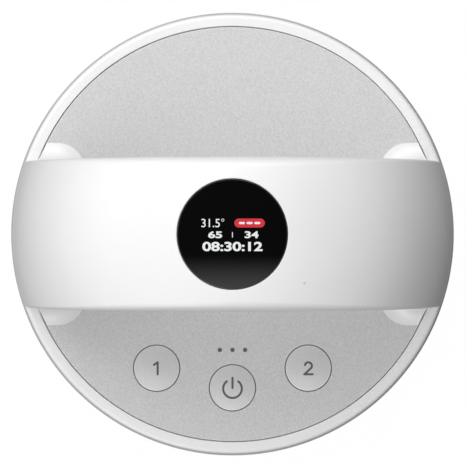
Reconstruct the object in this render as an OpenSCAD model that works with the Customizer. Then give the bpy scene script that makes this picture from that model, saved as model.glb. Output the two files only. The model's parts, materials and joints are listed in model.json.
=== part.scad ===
// Round hand-held body contouring device. A bridge handle with a round display
// spans a silver deck with three push buttons, and the skin electrodes are on
// the underside. The body and the handle share one spherical outline. The origin
// is the centre of the contact plane of the electrodes, +Z goes up to the display
// and -Y is the button side.

/* [Body] */
// Outside diameter of the body, at its widest line
body_d = 128; // [124:1:132]
// Height of the widest line, where the two housings meet
widest_z = 16; // [15.5:0.5:17]
// Height of the top of the white rim
rim_z = 30; // [29.5:0.1:31]
// Height of the underside of the lower housing
under_z = 2; // [1.8:0.1:2.2]
// Wall thickness of both housings
wall = 2.2; // [2:0.1:2.6]
// Radius of the rounded lower edge
belly_r = 6; // [5:0.5:7]
// Width of the white rim around the silver deck
rim_w = 3.2; // [3:0.1:4]
// Radius that softens the outer edge of the rim
rim_round = 1.4; // [1:0.1:2]
// How far the deck plate lies below the rim
deck_drop = 0.2; // [0.1:0.05:0.4]
// Thickness of the silver deck plate
plate_t = 1.6; // [1.4:0.1:1.8]
// Thickness of the floors of both housings
floor_t = 2.2; // [2:0.1:2.4]
// Visible gap around the deck plate and around each button
panel_gap = 0.2; // [0.15:0.05:0.3]

/* [Handle] */
// Width of the handle band
handle_w = 41.6; // [40:0.2:43]
// Thickness of the handle at its middle
handle_t = 13; // [12.5:0.1:14]
// Depth of the grip shell, from the hand side to the joint line
grip_depth = 5; // [4.6:0.1:5.4]
// Wall thickness of both handle shells
handle_wall = 2; // [1.8:0.1:2.2]
// Edge radius on the outer side of the handle
crown_round = 4.5; // [4:0.1:5]
// Edge radius on the hand side of the handle
grip_round = 4.5; // [3.5:0.1:4.8]
// Width of the flared foot of each leg
foot_w = 52; // [50:0.5:53]
// Distance from the centre to the inner edge of a foot
foot_in = 42; // [41.5:0.5:43]
// Corner radius of a foot, in plan
foot_corner = 8; // [7.5:0.5:10]
// Radius of the hollow flare from the foot up to the leg
flare_r = 7; // [5:0.5:7]

/* [Display] */
// Diameter of the round display window
lens_d = 29.4; // [28:0.2:30]
// Thickness of the display window at its edge
lens_t = 1.6; // [1.4:0.1:1.8]
// Length of the display panel
panel_l = 26; // [24:0.5:27]
// Width of the display panel
panel_w = 15; // [13:0.5:16]
// Thickness of the display panel
panel_t = 1.9; // [1.6:0.1:2]

/* [Buttons] */
// Diameter of a button cap
button_d = 13; // [12.4:0.2:13.6]
// Distance of the two side buttons from the middle plane
side_button_x = 21.6; // [21:0.2:23]
// Distance of the two side buttons in front of the centre
side_button_y = 38.2; // [37.4:0.2:39]
// Distance of the middle button in front of the centre
mid_button_y = 43.8; // [43:0.2:44.6]
// Rise of the domed face of a button
button_crown = 0.6; // [0.4:0.1:0.8]
// Travel of a button
button_travel = 0.5; // [0.3:0.05:0.5]

/* [Treatment head] */
// Diameter of the treatment head
head_d = 111; // [109:0.5:112]
// How far the electrodes stand proud of the head
electrode_proud = 1.4; // [1.2:0.1:1.6]
// Inner radius of the arc electrodes
arc_in = 30; // [27:0.5:32]
// Outer radius of the arc electrodes
arc_out = 43.5; // [40:0.5:44]
// Angle that one arc electrode covers
arc_angle = 70; // [60:1:76]
// Diameter of the centre electrode
centre_d = 24; // [20:0.5:28]
// Diameter of the temperature sensor cap
sensor_d = 6; // [5:0.2:7]

/* [Electronics] */
// Length of the battery along X
battery_l = 50; // [44:1:52]
// Width of the battery along Y
battery_w = 34; // [30:0.5:35]
// Thickness of the battery
battery_h = 9.6; // [8:0.2:9.8]
// Thickness of the circuit boards
board_t = 1.6; // [1.2:0.1:1.6]
// Diameter of the main circuit board
main_d = 98; // [94:1:100]
// Height of the top of the main circuit board
main_z = 12; // [11.6:0.1:12.2]

/* [Hidden] */
$fn = 64;

WHITE = "white";
SILVER = "silver";
STEEL = "lightsteelblue";
BOARD = "darkgreen";
RUBBER = "dimgray";
COPPER = "peru";

// Clearances, and the overlap of solids that are one piece
seat = 0.05;
slip = 0.15;
joint_gap = 0.1;
eps = 0.5;

// Small screws, the same all over
screw_r = 1;
pilot_r = 1.05;
clear_r = 1.3;
screw_head_r = 1.9;
screw_head_h = 1.1;

// Levels and radii of the body
body_r = body_d / 2;
deck_z = rim_z - deck_drop;
seat_z = deck_z - plate_t;
floor_z = seat_z - floor_t;
rim_out = sqrt(pow(body_r, 2) - pow(rim_z - widest_z, 2));
rim_in = rim_out - rim_w;
plate_r = rim_in - panel_gap;
inner_r = body_r - wall;
tongue_t = 1.2;
tongue_h = 2;
seal_w = 0.8;
seal_h = 0.5;
seal_r = inner_r + wall / 2;

// Bosses that join the housings
boss_ring_r = inner_r - 7.8;
boss_angles = [33, 75, 105, 147, 213, 257, 283, 327];
boss_r = 3.2;
head_sink = screw_head_h + joint_gap;
housing_screw_l = 9;

// Handle, as radii from its axis, which runs along Y through the widest line
band_half = handle_w / 2;
grip_in = body_r - handle_t;
corner_tail = 4;
split_a = grip_in + grip_depth;
foot_half = foot_w / 2;
foot_edge = 0.3;
lip_t = 1;
lip_h = 1.2;
lip_b = band_half - handle_wall - joint_gap - lip_t / 2;
cover_boss_r = 3;
grip_boss_r = 3.4;
cover_screw_angle = 33;
handle_screw_y = 11;
cover_screw_a = grip_in + 2;
cover_screw_l = 7;
plug_t = 0.8;
leg_screw_x = 54;
leg_screw_l = 8;
foot_block_h = 8.8;
foot_block_in = foot_in + 7.8;

// Display stack
lens_r = lens_d / 2;
lens_under = widest_z + sqrt(pow(body_r, 2) - pow(lens_r, 2)) - lens_t;
gasket_t = 0.3;
ledge_z = lens_under - gasket_t;
ledge_t = 1.5;
ledge_w = 1.6;
window_r = lens_r - ledge_w;
display_boss_r = lens_r + 2.3;
panel_z = ledge_z - ledge_t - joint_gap - panel_t;
bracket_t = 1.1;
bracket_z = panel_z - seat - bracket_t;
bracket_screw_x = 20;
bracket_boss_r = 2.6;
bracket_half_y = 9.5;
bracket_screw_l = 3.6;
display_board_t = 0.9;
display_board_z = bracket_z - joint_gap - display_board_t;
flex_t = 0.3;
flex_w = 10;
flex_a = display_board_z - joint_gap - flex_t - widest_z;
flex_start = 2;
tail_t = flex_t + 0.06;
chip_x = 44;
flex_slot_w = flex_w + 2.4;

// Buttons, as heights above the key board
button_r = button_d / 2;
button_hole_r = button_r + panel_gap;
hole_chamfer = 0.35;
cap_edge_z = rim_z;
cap_wall = 1.1;
cap_chamfer = 0.3;
flange_w = 1.1;
flange_t = 0.85;
flange_z = seat_z - slip - flange_t;
well_r = button_r + flange_w + 0.5;
stem_r = 2;
key_board_t = 1.2;
key_board_z = floor_z - 5.4;
switch_w = 4.5;
switch_h = 1.6;
plunger_r = 1.2;
plunger_l = 1.9;
plunger_z = key_board_z + 1;
dome_r = 5.5;
dome_pad_r = 2.6;
dome_h = 4.3;
dome_skirt = 0.9;
dome_skin = 0.8;
stem_z = key_board_z + dome_h + joint_gap;
key_post_r = 2.4;
key_posts = [[-31.5, -31], [0, -30], [31.5, -31]];
places = [[-side_button_x, -side_button_y], [0, -mid_button_y], [side_button_x, -side_button_y]];

// Treatment head
head_r = head_d / 2;
head_z = electrode_proud;
gasket_h = 0.3;
head_top = under_z + 2;
recess_top = head_top + gasket_h;
lower_floor_z = recess_top + floor_t;
electrode_h = electrode_proud + 0.6;
stud_r = 1.5;
stud_top = lower_floor_z + 1.1;
arc_mid = (arc_in + arc_out) / 2;
sensor_r = sensor_d / 2;
sensor_y = (centre_d / 2 + arc_in) / 2;
head_screw_ring = boss_ring_r - boss_r - 3.5;
head_screw_l = 4.3;

// Main board, battery and charging port
main_under = main_z - board_t;
main_posts = [[-38, -26], [38, -26], [-38, 26], [38, 26]];
main_post_r = 2.8;
part_z = main_z + seat;
battery_y = 25;
tray_z = main_z + 2;
tray_t = 1;
tray_lip = 3;
battery_z = tray_z + tray_t + joint_gap;
usb_w = 8.94;
usb_h = 3.26;
usb_depth = 7.4;
usb_skin = 0.3;
usb_mouth_y = inner_r + 0.2;
usb_z = part_z + usb_h / 2;
usb_slot_gap = 0.32;
contact_places = concat(
    [for (i = [0:3]) [arc_mid * cos(45 + 90 * i), arc_mid * sin(45 + 90 * i)]],
    [[0, 0], [0, sensor_y]]
);

// Points of a round stretch of an outline
function arc_points(cx, cy, r, a0, a1, n, first = 1) =
    [for (i = [first:n]) let (t = a0 + (a1 - a0) * i / n) [cx + r * cos(t), cy + r * sin(t)]];

// Section of the handle band: a round back of radius r, rounded corners and a flat hand side.
// The corners run on past the back as straight tails, which the circle of the back cuts off.
module band_section(r, inner, half, out_round, in_round) {
    c = sqrt(pow(r - out_round, 2) - pow(half - out_round, 2));
    turn = atan2(half - out_round, c);
    corner = arc_points(0, 0, out_round, turn, 90, 6);
    tail = corner_tail * [sin(turn + (90 - turn) / 12), -cos(turn + (90 - turn) / 12)];
    upper = concat(
        [[r + corner_tail, 0], [c, half - out_round] + corner[0] + tail],
        [for (p = corner) [c, half - out_round] + p],
        arc_points(inner + in_round, half - in_round, in_round, 90, 180, 6, 0)
    );
    intersection() {
        circle(r = r);
        polygon(concat(upper, [for (i = [len(upper) - 1:-1:1]) [upper[i][0], -upper[i][1]]]));
    }
}

module stadium(w, h) {
    translate([-(w - h) / 2, -h / 2]) square([w - h, h]);
    for (s = [-1, 1]) translate([s * (w - h) / 2, 0]) circle(r = h / 2);
}

module rounded_rectangle(x0, x1, half, r) {
    translate([x0 + r, -half]) square([x1 - x0 - r, 2 * half]);
    translate([x0, r - half]) square([r + eps, 2 * (half - r)]);
    for (s = [-1, 1]) translate([x0 + r, s * (half - r)]) circle(r = r);
}

module centred_box(x, y, z0, l, w, h) {
    translate([x - l / 2, y - w / 2, z0]) cube([l, w, h]);
}

module post(p, r, z0, z1) {
    translate([p[0], p[1], z0]) cylinder(r = r, h = z1 - z0);
}

// Screw with its head above z = 0 and its shank below
module screw(shank) {
    difference() {
        union() {
            cylinder(r = screw_head_r, h = screw_head_h);
            translate([0, 0, -shank]) cylinder(r = screw_r, h = shank + screw_head_h / 2);
        }
        translate([0, 0, screw_head_h / 2]) cylinder(r = 0.9, h = screw_head_h, $fn = 6);
    }
}

module on_ring(r, angles) {
    for (a = angles) rotate(a) translate([r, 0, 0]) children();
}

// Sweeps a section along the arch of the handle, down to the height low
module arch(low) {
    difference() {
        translate([0, 0, widest_z]) rotate([90, 0, 0]) rotate_extrude(angle = 180) children();
        translate([-body_d, -body_d, low - body_d]) cube([2 * body_d, 2 * body_d, body_d]);
    }
}

// Places children along a radius of the arch, at each screw between cover and grip
module at_cover_screws() {
    for (s = [-1, 1], t = [-1, 1])
        translate([0, t * handle_screw_y, widest_z])
            rotate([0, s * cover_screw_angle, 0])
                translate([0, 0, cover_screw_a]) children();
}

module handle_wall_section() {
    difference() {
        band_section(body_r, grip_in, band_half, crown_round, grip_round);
        band_section(
            body_r - handle_wall, grip_in + handle_wall, band_half - handle_wall,
            crown_round - handle_wall, grip_round - handle_wall
        );
    }
}

module lower_housing() {
    belly_c = sqrt(pow(body_r - belly_r, 2) - pow(widest_z - under_z - belly_r, 2));
    turn = atan2(widest_z - under_z - belly_r, belly_c);
    floor_edge_z = under_z + belly_r;
    inner_turn = asin((widest_z - floor_edge_z) / inner_r);
    top = widest_z - seat;
    color(WHITE) difference() {
        union() {
            rotate_extrude() polygon(concat(
                [[0, recess_top], [head_r + slip, recess_top], [head_r + slip, under_z]],
                arc_points(belly_c, under_z + belly_r, belly_r, -90, -turn, 8, 0),
                arc_points(0, widest_z, body_r, -turn, -0.5, 5),
                [[body_r, top], [inner_r, top]],
                arc_points(0, widest_z, inner_r, -0.5, -inner_turn, 5, 0),
                [[inner_r * cos(inner_turn) - 1.2, lower_floor_z], [0, lower_floor_z]]
            ));
            difference() {
                translate([0, 0, top - tongue_h])
                    cylinder(r = inner_r - slip, h = 2 * tongue_h);
                translate([0, 0, top - tongue_h - eps])
                    cylinder(r = inner_r - slip - tongue_t, h = 2 * tongue_h + 2 * eps);
            }
            on_ring(boss_ring_r, boss_angles)
                post([0, 0], boss_r, lower_floor_z - eps, floor_z - seat);
            for (p = main_posts) post(p, main_post_r, lower_floor_z - eps, main_under - seat);
        }
        on_ring(boss_ring_r, boss_angles) post([0, 0], pilot_r, floor_z - housing_screw_l, rim_z);
        for (p = main_posts) post(p, pilot_r, main_under - 3, main_z);
        on_ring(head_screw_ring, [for (i = [0:7]) 22.5 + 45 * i]) post([0, 0], clear_r, 0, main_under);
        for (p = contact_places) post(p, stud_r + slip, 0, main_under);
        difference() {
            post([0, 0], seal_r + seal_w / 2 + seat, top - seal_h, top + eps);
            post([0, 0], seal_r - seal_w / 2 - seat, top - seal_h - eps, top + 2 * eps);
        }
        translate([0, 0, usb_z]) rotate([-90, 0, 0])
            linear_extrude(body_r + eps) stadium(usb_w + 2 * usb_slot_gap, usb_h + 2 * usb_slot_gap);
    }
}

module upper_housing() {
    rim_c = sqrt(pow(body_r - rim_round, 2) - pow(rim_z - widest_z - rim_round, 2));
    turn = atan2(rim_z - widest_z - rim_round, rim_c);
    inner_turn = asin((floor_z - widest_z) / inner_r);
    color(WHITE) difference() {
        union() {
            rotate_extrude() polygon(concat(
                [[inner_r, widest_z + seat], [body_r, widest_z + seat]],
                arc_points(0, widest_z, body_r, 0, turn, 6),
                arc_points(rim_c, rim_z - rim_round, rim_round, turn, 90, 5),
                [[rim_in, rim_z], [rim_in, seat_z], [0, seat_z], [0, floor_z]],
                arc_points(0, widest_z, inner_r, inner_turn, 0.5, 6, 0)
            ));
            for (p = key_posts) post(p, key_post_r, key_board_z + seat, floor_z + eps);
        }
        on_ring(boss_ring_r, boss_angles) {
            post([0, 0], clear_r, floor_z - eps, rim_z);
            post([0, 0], screw_head_r + slip, seat_z - head_sink, rim_z);
        }
        for (p = key_posts) post(p, pilot_r, key_board_z - eps, seat_z - 0.8);
        for (p = places) post(p, well_r, floor_z - eps, rim_z);
        for (s = [-1, 1], t = [-1, 1])
            post([s * leg_screw_x, t * handle_screw_y], clear_r, floor_z - eps, rim_z);
        centred_box(-leg_screw_x, 0, floor_z - eps, 5, flex_slot_w, floor_t + 2 * eps);
    }
}

module housing_seal() {
    color(RUBBER) difference() {
        post([0, 0], seal_r + seal_w / 2, widest_z - seal_h, widest_z);
        post([0, 0], seal_r - seal_w / 2, 0, rim_z);
    }
}

module housing_screws() {
    color(STEEL) on_ring(boss_ring_r, boss_angles)
        translate([0, 0, seat_z - head_sink + seat / 2]) screw(housing_screw_l - 1);
}

module foot_outline(gap, reach) {
    intersection() {
        circle(r = reach);
        for (s = [0, 180]) rotate(s)
            rounded_rectangle(foot_in - gap, body_r, foot_half + gap, foot_corner + gap);
    }
}

module deck_plate() {
    color(SILVER) difference() {
        post([0, 0], plate_r, seat_z + seat, deck_z);
        linear_extrude(body_d) foot_outline(panel_gap, body_d);
        for (p = places) {
            post(p, button_hole_r, 0, body_d);
            translate([p[0], p[1], deck_z - hole_chamfer])
                cylinder(r1 = button_hole_r, r2 = button_hole_r + 2 * hole_chamfer, h = 2 * hole_chamfer);
        }
    }
}

module handle_cover() {
    tip = widest_z + body_r;
    color(WHITE) difference() {
        union() {
            arch(rim_z + seat) intersection() {
                handle_wall_section();
                translate([split_a, -band_half]) square([handle_t, handle_w]);
            }
            post([0, 0], display_boss_r, ledge_z - ledge_t, lens_under + 0.6);
            for (s = [-1, 1]) post([s * bracket_screw_x, 0], bracket_boss_r, panel_z, panel_z + 2.6);
            at_cover_screws() post([0, 0], cover_boss_r, split_a + seat - cover_screw_a,
                body_r - cover_screw_a - 2.4);
        }
        post([0, 0], lens_r + slip, ledge_z, tip + eps);
        post([0, 0], window_r, panel_z, tip);
        for (s = [-1, 1]) post([s * bracket_screw_x, 0], pilot_r, bracket_z, panel_z + 2.9);
        at_cover_screws() post([0, 0], pilot_r, 0, cover_screw_l + 0.6);
        // Small sound hole beside the display
        post([19.3, -13.1], 0.35, widest_z + split_a, tip);
    }
}

// Hollow quarter-round from a foot's edge up to the leg, of one quarter of the foot
module flare_profile(edge) {
    difference() {
        square([edge, flare_r]);
        translate([edge, flare_r]) circle(r = flare_r);
    }
}

module foot_flare() {
    cx = foot_in + foot_corner;
    cy = foot_half - foot_corner;
    reach = body_r - cx;
    translate([cx, 0, 0]) {
        for (s = [-1, 1]) {
            translate([0, s * cy, 0]) rotate_extrude() flare_profile(foot_corner);
            translate([0, s * cy, 0]) rotate([90, 0, 90]) linear_extrude(reach)
                mirror([1 - s, 0]) flare_profile(foot_corner);
        }
        translate([0, cy, 0]) rotate([90, 0, 0]) linear_extrude(2 * cy)
            mirror([1, 0]) flare_profile(foot_corner);
        translate([0, -cy, 0]) cube([reach, 2 * cy, flare_r]);
    }
}

module handle_grip() {
    low = seat_z + seat;
    foot_top = deck_z + foot_edge;
    color(WHITE) difference() {
        union() {
            arch(low) {
                intersection() {
                    handle_wall_section();
                    translate([0, -band_half]) square([split_a - joint_gap, handle_w]);
                }
                for (s = [-1, 1])
                    translate([split_a - 2, s * lip_b - lip_t / 2]) square([2 + lip_h, lip_t]);
            }
            difference() {
                intersection() {
                    union() {
                        translate([0, 0, low]) linear_extrude(foot_top - low)
                            foot_outline(0, rim_in - joint_gap);
                        for (s = [0, 180]) rotate(s) translate([0, 0, foot_top - 0.01]) foot_flare();
                    }
                    post([0, 0], rim_in - joint_gap, low, rim_z + flare_r);
                }
                arch(foot_top - flare_r) difference() {
                    band_section(body_r + 2, grip_in + 1, band_half + joint_gap,
                        crown_round, grip_round);
                    translate([0, -body_r]) square([split_a - joint_gap, body_d]);
                }
            }
            intersection() {
                post([0, 0], rim_in - joint_gap, low, low + foot_block_h);
                arch(low) band_section(
                    body_r - handle_wall - slip, grip_in + 1, band_half - handle_wall - slip,
                    crown_round - handle_wall, grip_round - handle_wall
                );
                union() for (s = [-1, 1])
                    centred_box(s * (foot_block_in + rim_in - joint_gap) / 2, 0, low,
                        rim_in - joint_gap - foot_block_in, handle_w, foot_block_h);
            }
            at_cover_screws() post([0, 0], grip_boss_r, 0.2 - cover_screw_a + grip_in,
                split_a - joint_gap - cover_screw_a);
        }
        at_cover_screws() {
            post([0, 0], clear_r, -handle_t, handle_t);
            post([0, 0], screw_head_r + slip, -handle_t, 0);
        }
        for (s = [-1, 1], t = [-1, 1])
            post([s * leg_screw_x, t * handle_screw_y], pilot_r, 0, low + leg_screw_l);
        centred_box(1.6 - leg_screw_x, 0, low - eps, 5.6, flex_slot_w, foot_block_h + 2 * eps);
    }
}

module cover_screws() {
    color(STEEL) at_cover_screws() translate([0, 0, -seat / 2]) rotate([180, 0, 0]) screw(cover_screw_l);
}

module screw_plugs() {
    color(WHITE) at_cover_screws()
        post([0, 0], screw_head_r + slip - seat, -2 + seat, plug_t + seat - 2);
}

module leg_screws() {
    color(STEEL) for (s = [-1, 1], t = [-1, 1])
        translate([s * leg_screw_x, t * handle_screw_y, floor_z - seat])
            rotate([180, 0, 0]) screw(leg_screw_l + floor_t - 1);
}

module display_lens() {
    color("black") intersection() {
        translate([0, 0, widest_z]) sphere(r = body_r, $fn = 180);
        post([0, 0], lens_r, lens_under, widest_z + body_d);
    }
}

module display_gasket() {
    color(RUBBER) difference() {
        post([0, 0], lens_r - 0.1, ledge_z + seat / 2, lens_under - seat / 2);
        post([0, 0], window_r + 0.1, 0, lens_under + eps);
    }
}

module display_panel() {
    color("midnightblue") centred_box(0, 0, panel_z, panel_l, panel_w, panel_t);
}

module display_bracket() {
    color(STEEL) difference() {
        union() {
            centred_box(0, 0, bracket_z, panel_l + 6, 2 * bracket_half_y, bracket_t);
            centred_box(0, 0, bracket_z, 2 * bracket_screw_x, 2 * bracket_boss_r, bracket_t);
            for (s = [-1, 1])
                post([s * bracket_screw_x, 0], bracket_boss_r, bracket_z, bracket_z + bracket_t);
        }
        for (s = [-1, 1]) post([s * bracket_screw_x, 0], clear_r, 0, body_d);
    }
}

module bracket_screws() {
    color(STEEL) for (s = [-1, 1])
        translate([s * bracket_screw_x, 0, bracket_z - seat]) rotate([180, 0, 0]) screw(bracket_screw_l);
}

module display_board() {
    color(BOARD) centred_box(0, 0, display_board_z, panel_l + 4, 2 * bracket_half_y - 1, display_board_t);
}

module display_flex() {
    drop = widest_z - part_z;
    color(COPPER) translate([0, flex_w / 2, widest_z]) rotate([90, 0, 0]) linear_extrude(flex_w) {
        difference() {
            circle(r = flex_a + flex_t, $fn = 180);
            circle(r = flex_a, $fn = 180);
            translate([flex_start, -body_r]) square([body_r, body_d]);
            translate([-body_r, -body_r]) square([body_d, body_r]);
        }
        // The stiffened tail is a little thicker than the film that runs into it
        translate([-flex_a - (flex_t + tail_t) / 2, -drop]) square([tail_t, drop + flex_t]);
        translate([-flex_a - (flex_t + tail_t) / 2, -drop]) square([flex_a - chip_x, tail_t]);
    }
}

module button_cap(i) {
    bow = (pow(button_r - cap_chamfer, 2) + pow(button_crown, 2)) / (2 * button_crown);
    turn = asin((button_r - cap_chamfer) / bow);
    color(SILVER) translate([places[i][0], places[i][1], 0]) rotate_extrude() polygon(concat(
        [[0, stem_z], [stem_r, stem_z], [stem_r, cap_edge_z - cap_wall]],
        [[button_r - cap_wall, cap_edge_z - cap_wall], [button_r - cap_wall, flange_z]],
        [[button_r + flange_w, flange_z], [button_r + flange_w, flange_z + flange_t]],
        [[button_r, flange_z + flange_t], [button_r, cap_edge_z - cap_chamfer]],
        arc_points(0, cap_edge_z + button_crown - bow, bow, 90 - turn, 90, 6, 0)
    ));
}

module key_plunger(i) {
    color("white") post(places[i], plunger_r, plunger_z, plunger_z + plunger_l);
}

module key_dome(i) {
    low = key_board_z + seat;
    top = key_board_z + dome_h;
    color("gainsboro") translate([places[i][0], places[i][1], 0]) rotate_extrude() polygon([
        [dome_r, low], [dome_r, low + dome_skirt], [dome_r - 0.8, low + dome_skirt],
        [dome_pad_r, top], [0, top], [0, top - dome_skin], [dome_pad_r - 0.4, top - dome_skin],
        [dome_r - 1.2, low]
    ]);
}

module left_button() button_cap(0);
module power_button() button_cap(1);
module right_button() button_cap(2);
module left_plunger() key_plunger(0);
module power_plunger() key_plunger(1);
module right_plunger() key_plunger(2);
module left_key_dome() key_dome(0);
module power_key_dome() key_dome(1);
module right_key_dome() key_dome(2);

module key_board() {
    color(BOARD) difference() {
        translate([0, 0, key_board_z - key_board_t]) linear_extrude(key_board_t) hull() {
            for (p = places) translate(p) circle(r = dome_r + 1, $fn = 32);
            for (p = key_posts) translate(p) circle(r = key_post_r + 0.8, $fn = 32);
        }
        for (p = key_posts) post(p, clear_r, 0, rim_z);
    }
}

module key_switches() {
    color(STEEL) for (p = places) difference() {
        centred_box(p[0], p[1], key_board_z + seat, switch_w, switch_w, switch_h);
        post(p, plunger_r + 0.1, plunger_z - button_travel - 0.15, rim_z);
    }
}

module key_board_screws() {
    color(STEEL) for (p = key_posts) translate([p[0], p[1], key_board_z - key_board_t - seat])
        rotate([180, 0, 0]) screw(key_board_t + 5);
}

module key_link() {
    color("black") centred_box(-14, -31, part_z, 9, 3, key_board_z - key_board_t - part_z - seat);
}

module arc_electrode_shape(r0, r1, angle, z1) {
    rotate([0, 0, -angle / 2]) rotate_extrude(angle = angle)
        polygon([[r0 + 0.5, 0], [r1 - 0.5, 0], [r1, 0.5], [r1, z1], [r0, z1], [r0, 0.5]]);
}

module arc_electrode(i) {
    color(SILVER) rotate(45 + 90 * i) {
        arc_electrode_shape(arc_in, arc_out, arc_angle, electrode_h);
        translate([arc_mid, 0, electrode_h - eps]) cylinder(r = stud_r, h = stud_top - electrode_h + eps);
    }
}

module arc_electrode_1() arc_electrode(0);
module arc_electrode_2() arc_electrode(1);
module arc_electrode_3() arc_electrode(2);
module arc_electrode_4() arc_electrode(3);

module treatment_head() {
    gap_angle = 2 * atan(joint_gap / arc_mid);
    color(WHITE) difference() {
        post([0, 0], head_r, head_z, head_top);
        for (i = [0:3]) rotate(45 + 90 * i)
            arc_electrode_shape(arc_in - joint_gap, arc_out + joint_gap, arc_angle + gap_angle,
                electrode_h + seat);
        post([0, 0], centre_d / 2 + joint_gap, 0, electrode_h + seat);
        post([0, sensor_y], sensor_r + joint_gap, 0, head_top + eps);
        for (p = contact_places) post(p, stud_r + slip, 0, head_top + eps);
        on_ring(head_screw_ring, [for (i = [0:7]) 22.5 + 45 * i])
            post([0, 0], pilot_r, head_top - 2, head_top + eps);
    }
}

module head_gasket() {
    color(RUBBER) difference() {
        post([0, 0], head_r - 1, head_top + seat, recess_top - seat);
        post([0, 0], head_r - 3, 0, rim_z);
    }
}

module head_screws() {
    color(STEEL) on_ring(head_screw_ring, [for (i = [0:7]) 22.5 + 45 * i])
        translate([0, 0, lower_floor_z + seat]) screw(head_screw_l);
}

module centre_electrode() {
    color(SILVER) {
        rotate_extrude() polygon([
            [0, 0], [centre_d / 2 - 0.6, 0], [centre_d / 2, 0.6],
            [centre_d / 2, electrode_h], [0, electrode_h]
        ]);
        post([0, 0], stud_r, electrode_h - eps, stud_top);
    }
}

module temperature_sensor() {
    color(SILVER) {
        post([0, sensor_y], sensor_r, electrode_proud - 0.8, head_top);
        post([0, sensor_y], stud_r - 0.3, head_top - eps, stud_top);
    }
}

module contact_pins() {
    color("gold") for (p = contact_places) {
        post(p, 0.8, stud_top + seat, main_under - seat);
        post(p, 1.3, main_under - 1.4, main_under - seat);
    }
}

module main_board() {
    color(BOARD) difference() {
        union() {
            post([0, 0], main_d / 2, main_under, main_z);
            translate([-9, 0, main_under]) cube([18, usb_mouth_y - 2.2, board_t]);
        }
        for (p = main_posts) post(p, clear_r, 0, rim_z);
    }
}

module main_board_screws() {
    color(STEEL) for (p = main_posts) translate([p[0], p[1], part_z]) screw(board_t + 2.5);
}

module board_chips() {
    color("black") {
        centred_box(0, -12, part_z, 12, 12, 1.4);
        centred_box(-4, -28, part_z, 8, 6, 1.2);
        centred_box(10, -32, part_z, 6, 6, 1.2);
        centred_box(-28, -32, part_z, 7, 5, 1.2);
        centred_box(1.6 - chip_x, 0, part_z, 3, flex_w + 1, 1.8);
        centred_box(0, 3, part_z, 7, 3.6, 3);
    }
}

module inductors() {
    color(RUBBER) for (x = [14, 25]) centred_box(x, -8, part_z, 8, 8, 5);
}

module transformer_core() {
    color(RUBBER) difference() {
        centred_box(-24, -10, part_z, 20, 14, 9);
        centred_box(-24, -10, part_z + 2, 12, 15, 5);
    }
}

module transformer_coil() {
    color(COPPER) centred_box(-24, -10, part_z + 2.2, 11.4, 18, 4.6);
}

module capacitors() {
    color("navy") for (y = [-12, -1]) post([38, y], 4, part_z, part_z + 8);
}

module buzzer() {
    color("black") difference() {
        post([27, -22], 6, part_z, part_z + 4.5);
        post([27, -22], 1, part_z + 3.5, rim_z);
    }
}

module battery_tray() {
    l = battery_l + 2;
    w = battery_w + 2;
    color(WHITE) {
        difference() {
            centred_box(0, battery_y, tray_z, l, w, tray_t + tray_lip);
            centred_box(0, battery_y, tray_z + tray_t,
                battery_l + 2 * joint_gap, battery_w + 2 * joint_gap, rim_z);
        }
        for (s = [-1, 1], t = [-1, 1])
            post([s * (l / 2 - 4), battery_y + t * (w / 2 - 4)], 2, part_z, tray_z + tray_t / 2);
    }
}

module battery() {
    color("gainsboro") centred_box(0, battery_y, battery_z, battery_l, battery_w, battery_h);
}

module battery_pad() {
    low = battery_z + battery_h + seat;
    color(RUBBER) centred_box(0, battery_y, low, battery_l - 10, battery_w - 10, floor_z - seat - low);
}

module battery_leads() {
    y = battery_y - battery_w / 2;
    z = tray_z + tray_t + tray_lip + 1;
    color("firebrick") for (s = [-1.3, 1.3]) {
        translate([s, y - seat, z]) rotate([90, 0, 0]) cylinder(r = 0.6, h = y - 4.5 - seat);
        translate([s, 4.5, z - 1.5]) rotate([90, 0, 90]) rotate([0, 0, 90])
            rotate_extrude(angle = 90) translate([1.5, 0]) circle(r = 0.6);
        post([s, 3], 0.6, part_z + 3 + seat, z - 1.5);
    }
}

module usb_port() {
    color(STEEL) translate([0, usb_mouth_y - usb_depth, usb_z]) rotate([-90, 0, 0]) {
        difference() {
            linear_extrude(usb_depth) stadium(usb_w, usb_h);
            translate([0, 0, 1]) linear_extrude(usb_depth)
                stadium(usb_w - 2 * usb_skin, usb_h - 2 * usb_skin);
        }
        translate([-3.3, -0.35, 0.5]) cube([6.6, 0.7, usb_depth - 1.4]);
    }
}

lower_housing();
upper_housing();
housing_seal();
housing_screws();
deck_plate();
handle_cover();
handle_grip();
cover_screws();
screw_plugs();
leg_screws();
display_lens();
display_gasket();
display_panel();
display_bracket();
bracket_screws();
display_board();
display_flex();
left_button();
power_button();
right_button();
left_plunger();
power_plunger();
right_plunger();
left_key_dome();
power_key_dome();
right_key_dome();
key_board();
key_switches();
key_board_screws();
key_link();
treatment_head();
head_gasket();
head_screws();
arc_electrode_1();
arc_electrode_2();
arc_electrode_3();
arc_electrode_4();
centre_electrode();
temperature_sensor();
contact_pins();
main_board();
main_board_screws();
board_chips();
inductors();
transformer_core();
transformer_coil();
capacitors();
buzzer();
battery();
battery_tray();
battery_pad();
battery_leads();
usb_port();
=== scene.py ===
"""Body contouring device: the looks of every surface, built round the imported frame.

Laid out as an add-on: property groups hold the sizes and colours, one operator makes each piece
or group of like pieces, and a panel lists them. Lengths are in metres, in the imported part's frame.
"""

import json
from math import asin, atan2, copysign, cos, degrees, dist, pi, radians, sin, sqrt, tan

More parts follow.
